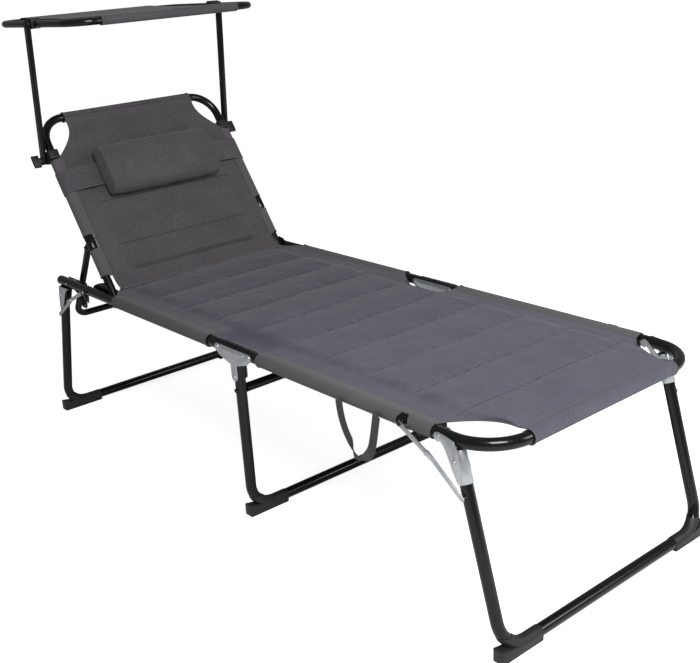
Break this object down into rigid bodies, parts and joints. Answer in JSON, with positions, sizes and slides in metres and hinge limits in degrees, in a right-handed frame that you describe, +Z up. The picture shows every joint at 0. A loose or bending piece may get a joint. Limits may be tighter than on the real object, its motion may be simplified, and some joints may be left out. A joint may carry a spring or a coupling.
{
  "type": "folding sun lounger",
  "caption": "Folding sun lounger on tube legs with a quilted sling, a reclining backrest with a head pillow, and a tilting canopy on posts.",
  "frame": {"origin": "on the floor under the middle of the whole lounger, canopy included", "axes": "+X from the head end to the foot end, +Y to the left of the person lying on it, +Z up"},
  "size_m": [1.8906, 0.6694, 1.1146],
  "materials": {
    "black_paint": "gloss black powder coat",
    "zinc": "bright zinc plate",
    "sling_fabric": "matt grey weave",
    "back_fabric": "matt dark grey weave",
    "webbing": "ribbed webbing",
    "black_plastic": "matt moulded"
  },
  "bodies": {
    "seat_head": {"head_rail_left": "black_paint", "head_rail_right": "black_paint", "head_rail_plug_left": "black_plastic", "head_rail_plug_right": "black_plastic", "backrest_rack_left": "black_paint", "backrest_rack_right": "black_paint", "backrest_pivot_bracket_left": "black_paint", "backrest_pivot_bracket_right": "black_paint", "seat_sling_head": "sling_fabric"},
    "mid_bracket": {"mid_plate_outer_left": "zinc", "mid_plate_outer_right": "zinc", "mid_plate_inner_left": "zinc", "mid_plate_inner_right": "zinc", "middle_leg": "black_paint", "middle_crossbar": "black_paint", "middle_foot_pad_left": "black_plastic", "middle_foot_pad_right": "black_plastic"},
    "seat_foot": {"foot_frame": "black_paint", "seat_sling_foot": "sling_fabric", "carry_strap": "webbing"},
    "head_leg": {"head_leg": "black_paint", "head_leg_plug_left": "black_plastic", "head_leg_plug_right": "black_plastic", "head_foot_pad_left": "black_plastic", "head_foot_pad_right": "black_plastic", "head_leg_bracket_left": "zinc", "head_leg_bracket_right": "zinc"},
    "foot_leg": {"foot_leg": "black_paint", "foot_leg_plug_left": "black_plastic", "foot_leg_plug_right": "black_plastic", "foot_foot_pad_left": "black_plastic", "foot_foot_pad_right": "black_plastic", "foot_leg_bracket_left": "zinc", "foot_leg_bracket_right": "zinc"},
    "head_stay_upper": {"head_stay_upper_left": "zinc", "head_stay_upper_right": "zinc"},
    "head_stay_lower": {"head_stay_lower_left": "zinc", "head_stay_lower_right": "zinc"},
    "foot_stay_upper": {"foot_stay_upper_left": "zinc", "foot_stay_upper_right": "zinc"},
    "foot_stay_lower": {"foot_stay_lower_left": "zinc", "foot_stay_lower_right": "zinc"},
    "backrest": {"backrest_frame": "black_paint", "backrest_sling": "back_fabric", "prop_tab_left": "black_paint", "prop_tab_right": "black_paint", "canopy_clamp_lower_left": "black_plastic", "canopy_clamp_lower_right": "black_plastic"},
    "prop": {"prop_frame": "black_paint"},
    "pillow": {"pillow": "back_fabric", "pillow_band": "webbing"},
    "canopy_posts": {"canopy_post_left": "black_paint", "canopy_post_right": "black_paint"},
    "canopy": {"canopy_frame": "black_paint", "canopy_fabric": "back_fabric", "canopy_clamp_top_left": "black_plastic", "canopy_clamp_top_right": "black_plastic"},
    "knob_left": {"wing_knob_left": "black_plastic"},
    "knob_right": {"wing_knob_right": "black_plastic"}
  },
  "joints": [
    {"name": "middle_hinge_head", "type": "hinge", "parent": "seat_head", "child": "mid_bracket", "pos_m": [0.0896, 0, 0.41], "axis": [0, 1, 0], "range_deg": [0, 90]},
    {"name": "middle_hinge_foot", "type": "hinge", "parent": "mid_bracket", "child": "seat_foot", "pos_m": [0.2096, 0, 0.41], "axis": [0, 1, 0], "range_deg": [0, 90]},
    {"name": "head_leg_fold", "type": "hinge", "parent": "seat_head", "child": "head_leg", "pos_m": [-0.65496, 0, 0.41], "axis": [0, -1, 0], "range_deg": [0, 102.05]},
    {"name": "head_stay_upper_turn", "type": "hinge", "parent": "seat_head", "child": "head_stay_upper", "pos_m": [-0.5424, 0, 0.41], "axis": [0, -1, 0], "range_deg": [0, 165.1]},
    {"name": "head_stay_lower_turn", "type": "hinge", "parent": "head_stay_upper", "child": "head_stay_lower", "pos_m": [-0.62269, 0, 0.37161], "axis": [0, -1, 0], "range_deg": [-171.95, 0]},
    {"name": "foot_leg_fold", "type": "hinge", "parent": "seat_foot", "child": "foot_leg", "pos_m": [0.79154, 0, 0.41], "axis": [0, 1, 0], "range_deg": [0, 105.16]},
    {"name": "foot_stay_upper_turn", "type": "hinge", "parent": "seat_foot", "child": "foot_stay_upper", "pos_m": [0.6986, 0, 0.41], "axis": [0, -1, 0], "range_deg": [0, 27.9]},
    {"name": "foot_stay_lower_turn", "type": "hinge", "parent": "foot_stay_upper", "child": "foot_stay_lower", "pos_m": [0.7687, 0, 0.37249], "axis": [0, -1, 0], "range_deg": [-152.8, 0]},
    {"name": "backrest_recline", "type": "hinge", "parent": "seat_head", "child": "backrest", "pos_m": [-0.4704, 0, 0.41], "axis": [0, -1, 0], "range_deg": [-15, 55]},
    {"name": "prop_swing", "type": "hinge", "parent": "backrest", "child": "prop", "pos_m": [-0.57773, 0, 0.51796], "axis": [0, -1, 0], "range_deg": [-104, 28.4]},
    {"name": "canopy_post_tilt", "type": "hinge", "parent": "backrest", "child": "canopy_posts", "pos_m": [-0.72654, 0, 0.74093], "axis": [0, -1, 0], "range_deg": [-45, 39.3]},
    {"name": "canopy_tilt", "type": "hinge", "parent": "canopy_posts", "child": "canopy", "pos_m": [-0.6997, 0, 1.09793], "axis": [0, 1, 0], "range_deg": [-30, 94.3]},
    {"name": "pillow_slide", "type": "slide", "parent": "backrest", "child": "pillow", "axis": [-0.5736, 0, 0.8192], "range_m": [-0.06, 0.02]},
    {"name": "knob_left_turn", "type": "hinge", "parent": "backrest", "child": "knob_left", "pos_m": [-0.72654, 0.312, 0.74093], "axis": [0, 1, 0], "continuous": true},
    {"name": "knob_right_turn", "type": "hinge", "parent": "backrest", "child": "knob_right", "pos_m": [-0.72654, -0.312, 0.74093], "axis": [0, -1, 0], "continuous": true}
  ],
  "couplings": [
    {"joint": "head_stay_upper_turn", "follows": "head_leg_fold", "ratio": 1.6177},
    {"joint": "head_stay_lower_turn", "follows": "head_leg_fold", "ratio": -1.6845},
    {"joint": "foot_stay_upper_turn", "follows": "foot_leg_fold", "ratio": 0.2652},
    {"joint": "foot_stay_lower_turn", "follows": "foot_leg_fold", "ratio": -1.4528},
    {"joint": "prop_swing", "follows": "backrest_recline", "ratio": -1.8899}
  ]
}
